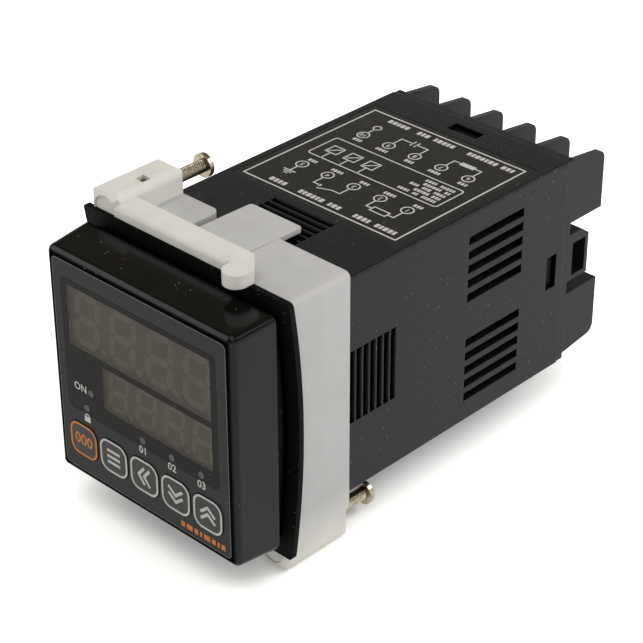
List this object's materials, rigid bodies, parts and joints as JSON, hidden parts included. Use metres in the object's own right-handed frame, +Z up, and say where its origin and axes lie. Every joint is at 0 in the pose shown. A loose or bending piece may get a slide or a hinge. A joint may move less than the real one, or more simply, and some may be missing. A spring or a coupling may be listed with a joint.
{
  "type": "panel counter",
  "caption": "Square panel-mount counter with read-outs, keys, a vented case, a rear terminal block and a ratchet clamping bracket with a gasket.",
  "frame": {"origin": "centre of the bezel's rear face, which bears on the front of the panel", "axes": "+X to the right seen from the front, +Y into the panel along the case, +Z up"},
  "size_m": [0.0512, 0.1014, 0.0608],
  "materials": {
    "gloss_black": "polished moulding",
    "overlay_film": "fine matt film",
    "smoked_lens": "smoked",
    "key_film": "fine matt film",
    "inner_black": "moulded",
    "display_epoxy": "cast",
    "led_epoxy": "cast",
    "circuit_board": "solder resist",
    "core_and_tape": "tape",
    "capacitor_sleeve": "shrunk sleeve",
    "case_black": "fine spark texture",
    "label_film": "printed film",
    "gasket_rubber": "matt",
    "natural_nylon": "moulded",
    "nickel_steel": "nickel plated",
    "plated_brass": "tin plated"
  },
  "bodies": {
    "counter": {"bezel": "gloss_black", "front_overlay": "overlay_film", "display_lens": "smoked_lens", "key_switches": "inner_black", "upper_display": "display_epoxy", "lower_display": "display_epoxy", "indicator_leds": "led_epoxy", "display_board": "circuit_board", "main_board": "circuit_board", "power_board": "circuit_board", "board_connectors": "inner_black", "control_chips": "inner_black", "transformer": "core_and_tape", "relay": "inner_black", "capacitors": "capacitor_sleeve", "case": "case_black", "rating_label": "label_film", "gasket": "gasket_rubber", "terminal_block": "case_black", "terminal_plates": "plated_brass", "terminal_screws": "nickel_steel"},
    "reset_key": {"key_reset": "key_film", "plunger_reset": "inner_black"},
    "mode_key": {"key_mode": "key_film", "plunger_mode": "inner_black"},
    "shift_key": {"key_shift": "key_film", "plunger_shift": "inner_black"},
    "down_key": {"key_down": "key_film", "plunger_down": "inner_black"},
    "up_key": {"key_up": "key_film", "plunger_up": "inner_black"},
    "clamp": {"bracket": "natural_nylon"},
    "upper_screw": {"clamp_screw_upper": "nickel_steel"},
    "lower_screw": {"clamp_screw_lower": "nickel_steel"}
  },
  "joints": [
    {"name": "reset_press", "type": "slide", "parent": "counter", "child": "reset_key", "axis": [0, 1, 0], "range_m": [0, 0.0003], "stiffness_N_per_m": 3000},
    {"name": "mode_press", "type": "slide", "parent": "counter", "child": "mode_key", "axis": [0, 1, 0], "range_m": [0, 0.0003], "stiffness_N_per_m": 3000},
    {"name": "shift_press", "type": "slide", "parent": "counter", "child": "shift_key", "axis": [0, 1, 0], "range_m": [0, 0.0003], "stiffness_N_per_m": 3000},
    {"name": "down_press", "type": "slide", "parent": "counter", "child": "down_key", "axis": [0, 1, 0], "range_m": [0, 0.0003], "stiffness_N_per_m": 3000},
    {"name": "up_press", "type": "slide", "parent": "counter", "child": "up_key", "axis": [0, 1, 0], "range_m": [0, 0.0003], "stiffness_N_per_m": 3000},
    {"name": "bracket_slide", "type": "slide", "parent": "counter", "child": "clamp", "axis": [0, 1, 0], "range_m": [0, 0.00712]},
    {"name": "upper_screw_feed", "type": "slide", "parent": "clamp", "child": "upper_screw", "axis": [0, -1, 0], "range_m": [0, 0.006]},
    {"name": "lower_screw_feed", "type": "slide", "parent": "clamp", "child": "lower_screw", "axis": [0, -1, 0], "range_m": [0, 0.006]}
  ]
}
